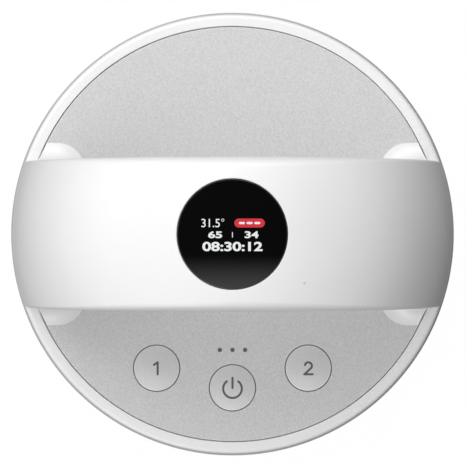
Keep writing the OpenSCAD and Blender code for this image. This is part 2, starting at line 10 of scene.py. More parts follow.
import bmesh
import bpy
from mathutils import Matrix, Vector


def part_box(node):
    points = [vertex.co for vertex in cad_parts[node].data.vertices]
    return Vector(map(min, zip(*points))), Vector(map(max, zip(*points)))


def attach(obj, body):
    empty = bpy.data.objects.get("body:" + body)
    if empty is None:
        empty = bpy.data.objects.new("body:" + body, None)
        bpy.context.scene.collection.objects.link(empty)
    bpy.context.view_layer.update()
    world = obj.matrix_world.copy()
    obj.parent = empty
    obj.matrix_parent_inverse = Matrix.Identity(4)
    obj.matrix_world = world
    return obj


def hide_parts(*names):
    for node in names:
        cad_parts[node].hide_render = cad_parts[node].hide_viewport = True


bl_info = {
    "name": "Body contouring device",
    "version": (1, 0, 0),
    "blender": (4, 5, 0),
    "location": "3D View > Sidebar > Device",
    "description": "Round body contouring device with a bridge handle, a display and three buttons",
    "category": "Object",
}

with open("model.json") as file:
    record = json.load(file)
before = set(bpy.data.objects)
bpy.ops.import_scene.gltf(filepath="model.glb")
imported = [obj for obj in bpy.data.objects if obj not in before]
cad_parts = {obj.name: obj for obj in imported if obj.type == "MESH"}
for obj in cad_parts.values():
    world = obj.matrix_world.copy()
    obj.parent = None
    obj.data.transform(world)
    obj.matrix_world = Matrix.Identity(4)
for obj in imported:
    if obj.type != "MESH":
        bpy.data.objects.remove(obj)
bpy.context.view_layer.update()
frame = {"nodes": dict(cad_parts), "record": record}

MM = 0.001

# Places that the frame gives
CASING = "casing"
BODY_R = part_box("lower_housing")[1].x
WIDEST_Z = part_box("housing_seal")[1].z
RIM_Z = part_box("upper_housing")[1].z
UNDER_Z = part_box("lower_housing")[0].z
DECK_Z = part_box("deck_plate")[1].z
SEAT_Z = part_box("deck_plate")[0].z
PLATE_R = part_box("deck_plate")[1].y
BAND_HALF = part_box("handle_cover")[1].y
COVER_FOOT_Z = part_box("handle_cover")[0].z
FOOT_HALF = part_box("handle_grip")[1].y
HEAD_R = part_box("treatment_head")[1].x
HEAD_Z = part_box("treatment_head")[0].z
HEAD_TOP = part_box("treatment_head")[1].z
LENS_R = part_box("display_lens")[1].x
LENS_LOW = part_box("display_lens")[0].z
# A button's box takes in the flange under the plate, which this is the width of
FLANGE = 1.1 * MM
BUTTON_R = (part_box("power_button")[1].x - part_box("power_button")[0].x) / 2 - FLANGE
CENTRE = Vector((0, 0, WIDEST_Z))
BUTTONS = ("left", "power", "right")
# Degrees between the widest line and the edge of each housing's outer wall
JOINT_TURN = 0.35
# How far a cutter reaches past what it cuts
PAST = 5 * MM


def hex_colour(text):
    """A colour as it is seen, sRGB hex, as the linear values that shaders take."""
    parts = [int(text[i : i + 2], 16) / 255 for i in (1, 3, 5)]
    linear = [c / 12.92 if c <= 0.04045 else ((c + 0.055) / 1.055) ** 2.4 for c in parts]
    return (*linear, 1.0)


def colour_property(name, text, description):
    """A colour that a user can change, given as sRGB hex."""
    return bpy.props.FloatVectorProperty(
        name=name, description=description, subtype="COLOR", size=4, min=0, max=1,
        default=hex_colour(text),
    )


def length_property(name, millimetres, description):
    """A length that a user can change, given in millimetres."""
    return bpy.props.FloatProperty(
        name=name, description=description, subtype="DISTANCE", unit="LENGTH",
        default=millimetres * MM, min=0, precision=5,
    )


class DeviceSizes(bpy.types.PropertyGroup):
    """Sizes that the looks add to the frame's own."""

    grip_in: length_property("Hand side radius", 51, "From the arch's axis to the hand side")
    split: length_property("Handle joint radius", 56, "From the arch's axis to its shells' joint")
    shell: length_property("Shell thickness", 2, "Wall of the moulded shells")
    crown_round: length_property("Crown edge", 4.5, "Radius of the crown's edges at its middle")
    crown_end: length_property("Crown edge at the feet", 1.1, "Radius of the same edges at the rim")
    grip_round: length_property("Grip edge", 4.5, "Radius of the handle's hand side edges")
    seam: length_property("Seam", 0.12, "Visible gap between two shells")
    edge: length_property("Moulded edge", 0.25, "Radius of a small moulded edge")
    rim_in: length_property("Rim inner radius", 59.25, "Inner radius of the white rim")
    rim_round: length_property("Rim edge", 1.4, "Radius of the rim's outer edge")
    belly: length_property("Lower edge", 6, "Radius of the body's lower edge")
    foot_in: length_property("Foot inner edge", 42, "From the centre to a foot's inner edge")
    foot_corner: length_property("Foot corner", 8, "Corner radius of a foot")
    foot_lap: length_property("Foot lap", 0.6, "How far a foot lies over the deck plate")
    flare: length_property("Flare height", 7, "How high the flare climbs up the leg")
    panel_gap: length_property("Panel gap", 0.2, "Gap round the deck plate and the buttons")
    bezel_r: length_property("Bezel radius", 17, "Outer radius of the seat of the lens")
    mark: length_property("Mark thickness", 0.02, "Thickness of printed ink")


class DeviceColours(bpy.types.PropertyGroup):
    """Colours of the surfaces that show."""

    shell: colour_property("Shell", "#F4F4F4", "Moulded white shells")
    deck: colour_property("Deck", "#D5D5D5", "Silver lacquer of the deck")
    button: colour_property("Button", "#E0E0E0", "Silver lacquer of the buttons")
    lens: colour_property("Lens", "#060607", "Black display window")
    ink: colour_property("Ink", "#5E5F60", "Printed marks")
    badge: colour_property("Level badge", "#D9283A", "Lit badge on the display")
    lit: colour_property("Lit figures", "#F2F4F5", "Lit figures on the display")
    electrode: colour_property("Electrode", "#D8D8D6", "Plated electrodes")


def sizes():
    """The sizes set in the scene."""
    return bpy.context.scene.device_sizes


def colours():
    """The colours set in the scene."""
    return bpy.context.scene.device_colours


# Materials

def add_node(tree, kind, settings=None, links=None):
    """Adds a node, sets its inputs or attributes by name, and links its inputs to sockets or to the
    first outputs of nodes."""
    node = tree.nodes.new("ShaderNode" + kind)
    for key, value in (settings or {}).items():
        if isinstance(key, int) or key in node.inputs:
            node.inputs[key].default_value = value
        else:
            setattr(node, key, value)
    for key, source in (links or {}).items():
        socket = source.outputs[0] if isinstance(source, bpy.types.Node) else source
        tree.links.new(socket, node.inputs[key])
    return node


def set_shader(shader, **values):
    """Sets plain values on the shader's sockets, named as the sockets are, with _ for a space."""
    for key, value in values.items():
        shader.inputs[key.replace("_", " ")].default_value = value


def grain(tree, spacing, detail=2.0):
    """Noise whose features are that many millimetres apart, in the part's own space."""
    place = add_node(tree, "TexCoord").outputs["Object"]
    return add_node(
        tree, "TexNoise", {"Scale": 1 / (spacing * MM), "Detail": detail},
        {"Vector": place},
    )


def relief(tree, shader, height, depth, strength=1.0):
    """Raises the surface by a pattern whose full height is that many millimetres."""
    node = add_node(
        tree, "Bump", {"Strength": strength, "Distance": depth * MM}, {"Height": height}
    )
    tree.links.new(node.outputs["Normal"], shader.inputs["Normal"])


def moulded(tree, shader, colour, roughness, ior, spacing, depth):
    """A moulded or printed non-metal: a fine grain breaks the gloss, and broad clouds shade it."""
    cloud, shade = 20, 0.96
    set_shader(shader, Roughness=roughness, IOR=ior)
    # This node's colour inputs stand at 6 and 7, and its colour result at 2
    clouded = add_node(
        tree, "Mix",
        {"data_type": "RGBA", 6: colour, 7: [c * shade for c in colour[:3]] + [1]},
        {0: grain(tree, spacing * cloud)},
    )
    tree.links.new(clouded.outputs[2], shader.inputs["Base Color"])
    relief(tree, shader, grain(tree, spacing), depth)


def plated(tree, shader, colour, roughness, spacing):
    """Bare or plated metal: its gloss varies with the wear of the surface."""
    polished, worn, depth = 0.8, 1.3, 0.002
    set_shader(shader, Base_Color=colour, Metallic=1.0)
    wear = grain(tree, spacing, 4)
    spread = add_node(
        tree, "MapRange",
        {"To Min": roughness * polished, "To Max": roughness * worn}, {"Value": wear},
    )
    tree.links.new(spread.outputs["Result"], shader.inputs["Roughness"])
    relief(tree, shader, wear, depth, 0.5)


def flaked(tree, shader, colour, flake, spread, roughness):
    """Lacquer with aluminium flakes under a satin clear coat: each flake has its own brightness."""
    depth = 0.01
    set_shader(shader, Metallic=0.25, Roughness=roughness, Coat_Weight=0.05, Coat_Roughness=0.4)
    place = add_node(tree, "TexCoord").outputs["Object"]
    cells = add_node(tree, "TexVoronoi", {"Scale": 1 / (flake * MM)}, {"Vector": place})
    shine = add_node(
        tree, "MapRange", {"To Min": 1 - spread, "To Max": 1 + spread},
        {"Value": cells.outputs["Color"]},
    )
    tone = add_node(
        tree, "VectorMath", {"operation": "SCALE", 0: colour[:3]}, {"Scale": shine}
    )
    tree.links.new(tone.outputs["Vector"], shader.inputs["Base Color"])
    relief(tree, shader, cells, depth, 0.4)


def glowing(tree, shader, colour, strength):
    """Lit pixels: they glow, whatever falls on them."""
    set_shader(shader, Base_Color=(0, 0, 0, 1), Emission_Color=colour, Emission_Strength=strength)


# Each finish by its slot or its marks: the real one's name, the function that fills it, its colour
# (a property's name or sRGB hex) and that function's other values, with lengths in millimetres
FINISHES = {
    # White ABS from a spark-eroded tool: a soft gloss that a fine grain breaks up
    "white_shell": ("moulded_abs_white", moulded, "shell", 0.36, 1.54, 0.45, 0.003),
    # The deck plate's silver lacquer: satin metal that sparkles grain by grain
    "deck_silver": ("deck_flake_lacquer", flaked, "deck", 0.3, 0.12, 0.6),
    # The buttons' silver lacquer: smoother and with a finer flake than the deck's
    "button_silver": ("button_flake_lacquer", flaked, "button", 0.24, 0.05, 0.45),
    # Acrylic printed black behind: near black, with clear reflections on its polished dome
    "lens_black": ("acrylic_black", moulded, "lens", 0.07, 1.49, 3, 0.001),
    # Pad-printed grey ink: a matt film with a slightly uneven edge gloss
    "ink": ("pad_print_ink", moulded, "ink", 0.55, 1.5, 0.2, 0.003),
    # White lit pixels behind the window: even and bright
    "lit_white": ("lit_pixels_white", glowing, "lit", 0.9),
    # Red lit pixels behind the window: even and bright
    "lit_red": ("lit_pixels_red", glowing, "badge", 0.9),
    # Polished nickel plate on the electrodes: mirror bright, with faint lapping marks
    "electrode_metal": ("nickel_plate", plated, "electrode", 0.14, 1.5),
    # Zinc-plated steel of the screws: bluish, half bright
    "screw_steel": ("zinc_plated_steel", plated, "#B9BCC2", 0.3, 0.6),
    # Stamped stainless sheet: grey and half bright
    "sheet_steel": ("stamped_stainless", plated, "#BFC0C1", 0.28, 0.8),
    # Enamelled copper wire of the windings: warm and glossy
    "coil_copper": ("enamelled_copper", plated, "#B8693A", 0.3, 0.3),
    # Thin gold plate on the contacts: warm and bright
    "pin_gold": ("gold_plate", plated, "#E2B455", 0.2, 0.3),
    # Laminated foil of the battery: silver grey with broad soft dents
    "battery_wrap": ("pouch_foil", plated, "#B5B7BA", 0.4, 3),
    # Display glass that is switched off: smooth and nearly black
    "panel_dark": ("display_glass_dark", moulded, "#0B0B10", 0.1, 1.5, 1, 0.001),
    # Black nitrile rubber of the seals: matt and a little dusty
    "seal_rubber": ("nitrile_rubber", moulded, "#2A2A2B", 0.75, 1.52, 0.3, 0.004),
    # Milky silicone of the key domes: soft, with a waxy sheen
    "key_silicone": ("silicone_milky", moulded, "#D5D4D0", 0.5, 1.41, 0.4, 0.003),
    # Green solder mask over fibreglass: glossy, with the weave showing faintly
    "board_green": ("solder_mask_green", moulded, "#0E5A2E", 0.35, 1.55, 0.5, 0.004),
    # Amber polyimide film of the flexible circuit: thin and glossy
    "flex_amber": ("polyimide_amber", moulded, "#B8711F", 0.3, 1.7, 0.5, 0.002),
    # Black moulding compound of the chips: fine and matt
    "chip_black": ("epoxy_black", moulded, "#1E1F20", 0.5, 1.55, 0.15, 0.003),
    # Shrunk blue sleeve of the capacitors: smooth and shiny
    "cap_blue": ("pet_sleeve_blue", moulded, "#1D2A5C", 0.3, 1.57, 0.8, 0.002),
    # Unpainted grey ABS of the battery tray: plain and satin
    "tray_plastic": ("moulded_abs_grey", moulded, "#C9C9C7", 0.45, 1.54, 0.4, 0.004),
    # Natural acetal of the plungers: white and slippery smooth
    "plunger_white": ("acetal_white", moulded, "#E2E1DC", 0.35, 1.48, 0.3, 0.002),
    # Red PVC of the battery leads: soft and half matt
    "lead_red": ("pvc_red", moulded, "#A81E1E", 0.45, 1.53, 0.4, 0.002),
}


def material(finish):
    """The material of a finish, made the first time it is asked for."""
    name, fill, colour, *values = FINISHES[finish]
    found = bpy.data.materials.get(name)
    if found:
        return found
    colour = hex_colour(colour) if colour.startswith("#") else getattr(colours(), colour)
    made = bpy.data.materials.new(name)
    made.use_nodes = True
    fill(made.node_tree, made.node_tree.nodes["Principled BSDF"], colour, *values)
    return made


# Meshes

def show(name, data):
    """An object with that data, in the scene."""
    obj = bpy.data.objects.new(name, data)
    bpy.context.scene.collection.objects.link(obj)
    return obj


def new_piece(name, work):
    """An object from a bmesh, whose normals are made to agree."""
    bmesh.ops.remove_doubles(work, verts=work.verts, dist=1e-7)
    bmesh.ops.recalc_face_normals(work, faces=work.faces)
    mesh = bpy.data.meshes.new(name)
    work.to_mesh(mesh)
    work.free()
    return show(name, mesh)


def piece_from(name, vertices, faces):
    """An object from lists of vertices and faces."""
    work = bmesh.new()
    placed = [work.verts.new(v) for v in vertices]
    for face in faces:
        work.faces.new([placed[k] for k in face])
    return new_piece(name, work)


def bands(rings, n, open_by=0):
    """Faces between rings of n points each, which a gap of one face may leave open."""
    return [
        (r * n + k, r * n + (k + 1) % n, (r + 1) * n + (k + 1) % n, (r + 1) * n + k)
        for r in range(rings - 1) for k in range(n - open_by)
    ]


def settle(obj):
    """Turns an object, with its modifiers, into a plain mesh."""
    graph = bpy.context.evaluated_depsgraph_get()
    mesh = bpy.data.meshes.new_from_object(obj.evaluated_get(graph))
    obj.modifiers.clear()
    obj.data = mesh


def smooth(obj, sharp):
    """Shades smoothly, keeps edges over the angle sharp and lets broad faces stay flat."""
    mesh = obj.data
    mesh.polygons.foreach_set("use_smooth", [True] * len(mesh.polygons))
    mesh.set_sharp_from_angle(angle=radians(sharp))
    modifier = obj.modifiers.new("normals", "WEIGHTED_NORMAL")
    modifier.keep_sharp = True
    settle(obj)


def dress(obj, slot=None, node=None, finish=None, body=CASING, sharp=32):
    """Shades a piece, gives it the finish of its slot or another one, hangs it on the body that it
    rides on and hides the node that it stands for."""
    smooth(obj, sharp)
    obj.data.materials.clear()
    obj.data.materials.append(material(finish or slot))
    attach(obj, body)
    if node:
        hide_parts(node)


def arc(cx, cy, r, start, end, steps):
    """Points of a round stretch, in degrees."""
    angles = [radians(start + (end - start) * i / max(steps, 1)) for i in range(steps + 1)]
    return [(cx + r * cos(a), cy + r * sin(a)) for a in angles]


def edge_place(radius, across):
    """How far along lies a point on a radius that is that far across, and its angle in degrees."""
    along = sqrt(radius ** 2 - across ** 2)
    return along, degrees(atan2(across, along))


def without_repeats(points):
    """The points of a closed outline without neighbours that coincide."""
    kept = []
    for p in points:
        if not kept or dist(p, kept[-1]) > 1e-7:
            kept.append(p)
    if dist(kept[0], kept[-1]) < 1e-7:
        kept.pop()
    return kept


def mirrored(half):
    """A closed outline from its half at positive y, whose ends lie on y = 0."""
    return without_repeats(half + [(a, -b) for a, b in reversed(half)])


def corners(outline):
    """Each point of a closed outline, with the ones before and after it."""
    turned = [Vector(p) for p in outline]
    return zip(turned[-1:] + turned[:-1], turned, turned[1:] + turned[:1])


def inset(outline, distance):
    """The outline moved to the left of its direction of travel."""
    moved = []
    for before, here, after in corners(outline):
        u, v = (here - before).normalized(), (after - here).normalized()
        left = Vector((-u.y, u.x))
        mean = left + Vector((-v.y, v.x))
        moved.append(tuple(here + mean * distance / mean.dot(left)))
    return moved


def rounded(points, radius, steps=6):
    """A closed outline with its sharp corners rounded."""
    out = []
    for before, here, after in corners(points):
        a, b = (before - here).normalized(), (after - here).normalized()
        angle = a.angle(b)
        if angle > radians(150):
            out.append(tuple(here))
            continue
        run = radius / tan(angle / 2)
        start, end = here + a * run, here + b * run
        for k in range(steps + 1):
            t = k / steps
            out.append(tuple(start * (1 - t) ** 2 + here * 2 * t * (1 - t) + end * t ** 2))
    return without_repeats(out)


def lathe(name, profile, centre=(0, 0), segments=192):
    """Revolves a closed outline of (radius, height) about a vertical axis."""
    profile = without_repeats(profile)
    vertices, faces = [], []
    n = len(profile)
    for i in range(segments):
        turn = 2 * pi * i / segments
        for r, z in profile:
            vertices.append((centre[0] + r * cos(turn), centre[1] + r * sin(turn), z))
        ahead = (i + 1) % segments * n
        for k in range(n):
            after = (k + 1) % n
            # A stretch along the axis has no faces, and points that meet on it are merged later
            if max(profile[k][0], profile[after][0]) > 1e-9:
                faces.append((i * n + k, i * n + after, ahead + after, ahead + k))
    return piece_from(name, vertices, faces)


def sweep_arch(name, section_at, foot_z, steps=200):
    """Sweeps a closed section of (radius from the arch's axis, y) over the arch, down to foot_z.
    The section is given for each place, from 0 at a foot to 1 at the crown."""
    vertices = []
    for i in range(steps + 1):
        section = section_at(sin(pi * i / steps))
        n = len(section)
        for radius, y in section:
            low = asin((foot_z - WIDEST_Z) / radius)
            turn = low + (pi - 2 * low) * i / steps
            vertices.append((radius * cos(turn), y, WIDEST_Z + radius * sin(turn)))
    ends = [range(n), range(steps * n, steps * n + n)]
    return piece_from(name, vertices, bands(steps + 1, n) + ends)


def formed_sheet(name, outlines, rows):
    """A sheet from outlines, the outer one against the clock and holes with it, and rows of
    (inset, height) from its lower to its upper face."""
    work = bmesh.new()
    tops, bottoms = [], []
    for outline in outlines:
        n = len(outline)
        rings = [[work.verts.new((*p, z)) for p in inset(outline, d)] for d, z in rows]
        for low, high in zip(rings, rings[1:]):
            for k in range(n):
                work.faces.new((low[k], low[(k + 1) % n], high[(k + 1) % n], high[k]))
        for ring, edges in ((rings[0], bottoms), (rings[-1], tops)):
            edges += [work.edges.get((ring[k], ring[(k + 1) % n])) for k in range(n)]
    bmesh.ops.triangle_fill(work, edges=tops, use_beauty=True)
    bmesh.ops.triangle_fill(work, edges=bottoms, use_beauty=True)
    return new_piece(name, work)


def rounded_edge(low, high, edge, steps=4):
    """Rows of (inset, height) for a sheet whose upper edge is round."""
    return [(0, low)] + [
        (edge - x, z) for x, z in arc(0, high - edge, edge, 0, 90, steps)
    ] + [(edge * 1.6, high)]


def cut(obj, *cutters):
    """Takes the cutters away from the piece."""
    for cutter in cutters:
        modifier = obj.modifiers.new("cut", "BOOLEAN")
        modifier.operation = "DIFFERENCE"
        modifier.solver = "EXACT"
        modifier.object = cutter
    settle(obj)
    for cutter in cutters:
        bpy.data.objects.remove(cutter)


def join(name, pieces):
    """Joins pieces into the first."""
    with bpy.context.temp_override(
        active_object=pieces[0], object=pieces[0], selected_objects=pieces,
        selected_editable_objects=pieces,
    ):
        bpy.ops.object.join()
    pieces[0].name = name
    return pieces[0]


def sphere_normals(obj, radius):
    """Gives the faces that lie on a sphere about the body's centre the sphere's own normals."""
    least_facing, near = 0.98, 0.02 * MM
    mesh = obj.data
    normals = [Vector(n.vector) for n in mesh.corner_normals]
    for polygon in mesh.polygons:
        if polygon.normal.dot((polygon.center - CENTRE).normalized()) < least_facing:
            continue
        for loop in polygon.loop_indices:
            place = mesh.vertices[mesh.loops[loop].vertex_index].co - CENTRE
            if abs(place.length - radius) < near:
                normals[loop] = place.normalized()
    mesh.normals_split_custom_set(normals)


# Marks

def figure(name, text, height, width, bold, place):
    """Plain figures as a flat mesh, of the given height and width, with their middle at a place."""
    curve = bpy.data.curves.new(name, "FONT")
    curve.body = text
    curve.offset = bold
    obj = show(name, curve)
    settled = bpy.data.meshes.new_from_object(
        obj.evaluated_get(bpy.context.evaluated_depsgraph_get())
    )
    bpy.data.objects.remove(obj)
    low, high = (
        Vector([limit(v.co[k] for v in settled.vertices) for k in range(3)]) for limit in (min, max)
    )
    stretch = Vector((width / (high.x - low.x), height / (high.y - low.y), 0))
    for vertex in settled.vertices:
        vertex.co = (vertex.co - (low + high) / 2) * stretch + Vector((*place, 0))
    return show(name, settled)


def strip(name, points, width):
    """A flat ribbon of even width along points, with round ends."""
    points = [Vector(p) for p in points]
    sides = []
    for i, p in enumerate(points):
        ahead = (points[min(i + 1, len(points) - 1)] - points[max(i - 1, 0)]).normalized()
        sides.append((p, ahead, Vector((-ahead.y, ahead.x)) * width / 2))
    outline = []
    for run, sign, turn in ((sides, -1, 0), (sides[::-1], 1, 180)):
        outline += [p + sign * side for p, _, side in run]
        p, ahead, _ = run[-1]
        facing = degrees(atan2(ahead.y, ahead.x)) + turn
        cap = arc(p.x, p.y, width / 2, facing - 90, facing + 90, 12)
        outline += [Vector(q) for q in cap[1:-1]]
    work = bmesh.new()
    ring = [work.verts.new((*p, 0)) for p in outline]
    edges = [work.edges.new((ring[k - 1], ring[k])) for k in range(len(ring))]
    bmesh.ops.triangle_fill(work, edges=edges, use_beauty=True)
    return new_piece(name, work)


def lay_on(obj, surface, thickness):
    """Lays a flat mark on a surface, given as its height over (x, y), as a film that thick."""
    spacing, rounds = 0.4 * MM, 5
    work = bmesh.new()
    work.from_mesh(obj.data)
    for _ in range(rounds):
        coarse = [e for e in work.edges if e.calc_length() > spacing]
        if not coarse:
            break
        bmesh.ops.subdivide_edges(work, edges=coarse, cuts=1)
        bmesh.ops.triangulate(work, faces=work.faces)
    bmesh.ops.recalc_face_normals(work, faces=work.faces)
    faces = list(work.faces)
    if faces[0].normal.z < 0:
        bmesh.ops.reverse_faces(work, faces=faces)
    for vertex in work.verts:
        vertex.co.z = surface(vertex.co.x, vertex.co.y) + thickness
    rim = [e for e in work.edges if e.is_boundary]
    skirt = bmesh.ops.extrude_edge_only(work, edges=rim)
    for item in skirt["geom"]:
        if isinstance(item, bmesh.types.BMVert):
            item.co.z -= 2 * thickness
    work.to_mesh(obj.data)
    work.free()


def middle_of(node):
    """Middle of a node's box."""
    low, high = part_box(node)
    return (low + high) / 2


# Operators

class DEVICE_OT_stage(bpy.types.Operator):
    """Makes the pale floor, the soft studio light and the camera over the device"""

    bl_idname = "device.stage"
    bl_label = "Stage"

    # At this height over the widest line the outline takes up 442 of the photo's 466 pixels
    camera_height = 750 * MM
    focal_length = 199.6
    sensor = 36
    offset = (0.145 * MM, 0.32 * MM)
    # Turn from +x and climb in degrees, distance and side in metres, and watts
    lamps = {
        "key_softbox": (125, 48, 0.6, 0.26, 0.7),
        "back_softbox": (86, 38, 1.1, 0.6, 3.3),
        "front_softbox": (250, 23, 1.1, 0.5, 2.5),
    }
    floor_reach = 4.0
    # The electrodes stand on zero, and the floor lies just clear of them
    floor_z = -0.1 * MM
    floor_grey = "#505050"
    floor_glow = 1.1
    # How much of the floor is its glow, and how much of that reflections get, as it lies in shade
    glow_share = 0.9
    mirrored_share = 0.06
    backdrop_glow = 1.05
    # Lights of the room: where along its axis each starts and ends, and its strength at both
    overhead_axis = (-0.3, 0.13, 0.945)
    overhead = (0.1, 0.95, 0.0, 1.06)
    walls = (0.4, 0.9, 1.0, 0.03)
    front = (-0.15, -0.5, 0.0, 1.3)

    def execute(self, context):
        scene = context.scene
        camera = bpy.data.cameras.new("camera")
        camera.lens = self.focal_length
        camera.sensor_width = self.sensor
        eye = show("camera", camera)
        eye.location = (*self.offset, WIDEST_Z + self.camera_height)
        scene.camera = eye
        scene.view_settings.view_transform = "Standard"
        self.floor()
        self.room(scene)
        for name, values in self.lamps.items():
            self.softbox(name, *values)
        return {"FINISHED"}

    def softbox(self, name, turn, climb, away, size, watts):
        """A square lamp that faces the device and stays out of the camera's view."""
        light = bpy.data.lights.new(name, "AREA")
        light.size = size
        light.energy = watts
        obj = show(name, light)
        turn, climb = radians(turn), radians(climb)
        flat = cos(climb)
        toward = Vector((flat * cos(turn), flat * sin(turn), sin(climb)))
        obj.location = CENTRE + away * toward
        obj.visible_camera = False
        obj.rotation_euler = (CENTRE - obj.location).to_track_quat("-Z", "Y").to_euler()

    def floor(self):
        """A floor that reads as white to the camera and still keeps the device's shadow."""
        surface = bpy.data.materials.new("studio_floor")
        surface.use_nodes = True
        tree = surface.node_tree
        tree.nodes.clear()
        rays = add_node(tree, "LightPath").outputs
        seen = add_node(
            tree, "Math", {"operation": "MAXIMUM"},
            {0: rays["Is Camera Ray"], 1: rays["Is Transmission Ray"]},
        )
        part = add_node(
            tree, "Math", {"operation": "MULTIPLY_ADD", 1: self.mirrored_share},
            {0: rays["Is Glossy Ray"], 2: seen},
        )
        share = add_node(
            tree, "Math", {"operation": "MULTIPLY", 1: self.glow_share}, {0: part}
        )
        matt = add_node(tree, "BsdfDiffuse", {"Color": hex_colour(self.floor_grey)})
        white = add_node(tree, "Emission", {"Strength": self.floor_glow})
        lit = add_node(tree, "MixShader", None, {0: share, 1: matt, 2: white})
        # From below the floor is clear, so that the treatment head can be looked at
        below = add_node(tree, "NewGeometry").outputs["Backfacing"]
        clear = add_node(tree, "BsdfTransparent")
        one_sided = add_node(tree, "MixShader", None, {0: below, 1: lit, 2: clear})
        add_node(tree, "OutputMaterial", None, {"Surface": one_sided})
        r = self.floor_reach
        edge = [(x, y, self.floor_z) for x, y in ((-r, -r), (r, -r), (r, r), (-r, r))]
        ground = piece_from("floor", edge, [range(4)])
        ground.data.materials.append(surface)

    def room(self, scene):
        """A dim room, lit from overhead, whose pale walls and bright front show in reflections."""
        world = bpy.data.worlds.new("studio_room")
        scene.world = world
        world.use_nodes = True
        tree = world.node_tree
        tree.nodes.clear()
        rays = add_node(tree, "LightPath").outputs
        place = add_node(tree, "TexCoord").outputs["Generated"]
        parts = add_node(tree, "SeparateXYZ", None, {"Vector": place}).outputs
        toward_light = add_node(
            tree, "VectorMath", {"operation": "DOT_PRODUCT", 1: self.overhead_axis},
            {0: place},
        ).outputs["Value"]
        overhead, walls, front = (
            add_node(
                tree, "MapRange",
                {"From Min": start, "From Max": end, "To Min": first, "To Max": last,
                 "interpolation_type": "SMOOTHSTEP"},
                {"Value": along},
            )
            for along, (start, end, first, last) in (
                (toward_light, self.overhead), (parts["Z"], self.walls), (parts["Y"], self.front),
            )
        )
        around, shiny = (
            add_node(tree, "Math", {"operation": "MAXIMUM"}, {0: one, 1: other})
            for one, other in (
                (walls, front), (rays["Is Glossy Ray"], rays["Is Transmission Ray"]),
            )
        )
        white = (1, 1, 1, 1)
        light, mirrored_room = (
            add_node(tree, "Background", {"Color": white}, {"Strength": strength})
            for strength in (overhead, around)
        )
        backdrop = add_node(
            tree, "Background", {"Color": white, "Strength": self.backdrop_glow}
        )
        for ray, other in ((shiny, mirrored_room), (rays["Is Camera Ray"], backdrop)):
            light = add_node(tree, "MixShader", None, {0: ray, 1: light, 2: other})
        add_node(tree, "OutputWorld", None, {"Surface": light})


class DEVICE_OT_inner_works(bpy.types.Operator):
    """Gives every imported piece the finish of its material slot"""

    bl_idname = "device.inner_works"
    bl_label = "Inner works"

    def execute(self, context):
        for part in frame["record"]["subparts"]:
            obj = frame["nodes"][part["node"]]
            obj.data.materials.clear()
            obj.data.materials.append(material(part["material_slot"]))
        return {"FINISHED"}
class DEVICE_OT_housings(bpy.types.Operator):
    """Makes the two moulded housings of the round body"""

    bl_idname = "device.housings"
    bl_label = "Housings"

    deck_floor = 1 * MM
    segments = 256
    recess_gap = 0.15 * MM
    # Inside the lower housing: the straight part of the wall, its step in, and the floor
    wall_depth = 6 * MM
    wall_step = 2 * MM
    floor_t = 2.5 * MM
    # The charging slot: its gap round the port, and where its cut starts from the port's back
    slot_gap = 0.32 * MM
    slot_start = 4 * MM

    def execute(self, context):
        self.upper()
        self.lower()
        return {"FINISHED"}

    def upper(self):
        """The shell with the rim, and the floor under the deck plate with its button holes."""
        s = sizes()
        rim_c, turn = edge_place(BODY_R - s.rim_round, RIM_Z - WIDEST_Z - s.rim_round)
        joint = WIDEST_Z + s.seam / 2
        inner = BODY_R - s.shell
        under = SEAT_Z - self.deck_floor
        profile = (
            [(inner, joint), (BODY_R - s.edge, joint)]
            + [(x, y + WIDEST_Z) for x, y in arc(0, 0, BODY_R, JOINT_TURN, turn, 24)]
            + arc(rim_c, RIM_Z - s.rim_round, s.rim_round, turn, 90, 12)[1:]
            + arc(s.rim_in + s.edge, RIM_Z - s.edge, s.edge, 90, 180, 5)
            + [(s.rim_in, SEAT_Z), (0, SEAT_Z), (0, under), (s.rim_in, under)]
        )
        shell = lathe("upper_housing_shell", profile, segments=self.segments)
        bore_r, bore_z = BUTTON_R + s.panel_gap, SEAT_Z - 2 * self.deck_floor
        bore = [(0, bore_z), (bore_r, bore_z), (bore_r, RIM_Z), (0, RIM_Z)]
        places = (middle_of(f"{name}_button").xy for name in BUTTONS)
        cut(shell, *(lathe("bore", bore, place, 64) for place in places))
        dress(shell, "white_shell", "upper_housing")

    def lower(self):
        """The bowl below the joint, with the recess of the treatment head and the charging slot."""
        s = sizes()
        belly_c, turn = edge_place(BODY_R - s.belly, WIDEST_Z - UNDER_Z - s.belly)
        joint = WIDEST_Z - s.seam / 2
        recess = HEAD_R + self.recess_gap
        inner = BODY_R - s.shell
        floor_z = HEAD_TOP + self.floor_t
        profile = (
            [(0, HEAD_TOP), (recess, HEAD_TOP)]
            + arc(recess + s.edge, UNDER_Z + s.edge, s.edge, 180, 270, 5)
            + arc(belly_c, UNDER_Z + s.belly, s.belly, -90, -turn, 20)
            + [(x, y + WIDEST_Z) for x, y in arc(0, 0, BODY_R, -turn, -JOINT_TURN, 24)[1:]]
            + [(BODY_R - s.edge, joint), (inner, joint), (inner, joint - self.wall_depth)]
            + [(inner - self.wall_step, floor_z), (0, floor_z)]
        )
        shell = lathe("lower_housing_shell", profile, segments=self.segments)
        low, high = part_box("usb_port")
        half_w = (high.x - low.x) / 2 + self.slot_gap
        half_h = (high.z - low.z) / 2 + self.slot_gap
        middle = (high.z + low.z) / 2
        slot = arc(half_w - half_h, middle, half_h, -90, 90, 16) + arc(
            half_h - half_w, middle, half_h, 90, 270, 16
        )
        n = len(slot)
        mouth = [(x, y, z) for y in (low.y + self.slot_start, BODY_R + PAST) for x, z in slot]
        cut(shell, piece_from("slot", mouth, bands(2, n) + [range(n), range(n, 2 * n)]))
        dress(shell, "white_shell", "lower_housing")


